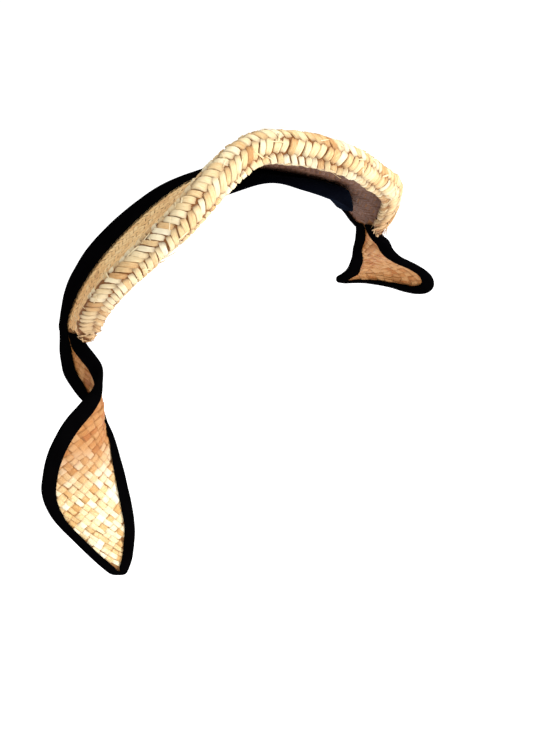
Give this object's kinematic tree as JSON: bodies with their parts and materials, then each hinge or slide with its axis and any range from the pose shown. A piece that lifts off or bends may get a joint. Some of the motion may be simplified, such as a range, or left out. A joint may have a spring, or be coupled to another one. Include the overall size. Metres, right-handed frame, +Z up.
{
  "type": "cocktail hat",
  "caption": "Straw half hat: an arched shell of plaited straw with a thick rolled front edge, black velvet edges, a velvet inner band, and a twisted tail hanging at each ear.",
  "frame": {"origin": "where the hat sits: the top of the wearer's head, at the underside of the velvet bandeau", "axes": "+X to the wearer's left, -Y the way the wearer faces, +Z up"},
  "size_m": [0.2721, 0.1491, 0.2278],
  "materials": {
    "plaited_straw": "natural straw, flat strands plaited on the diagonal, satin sheen",
    "black_velvet": "black velvet with a short nap"
  },
  "bodies": {
    "root": {"straw_crown": "plaited_straw", "back_binding": "black_velvet", "velvet_bandeau": "black_velvet", "tail_right": "plaited_straw", "tail_left": "plaited_straw", "tail_binding_right": "black_velvet", "tail_binding_left": "black_velvet"}
  },
  "joints": []
}
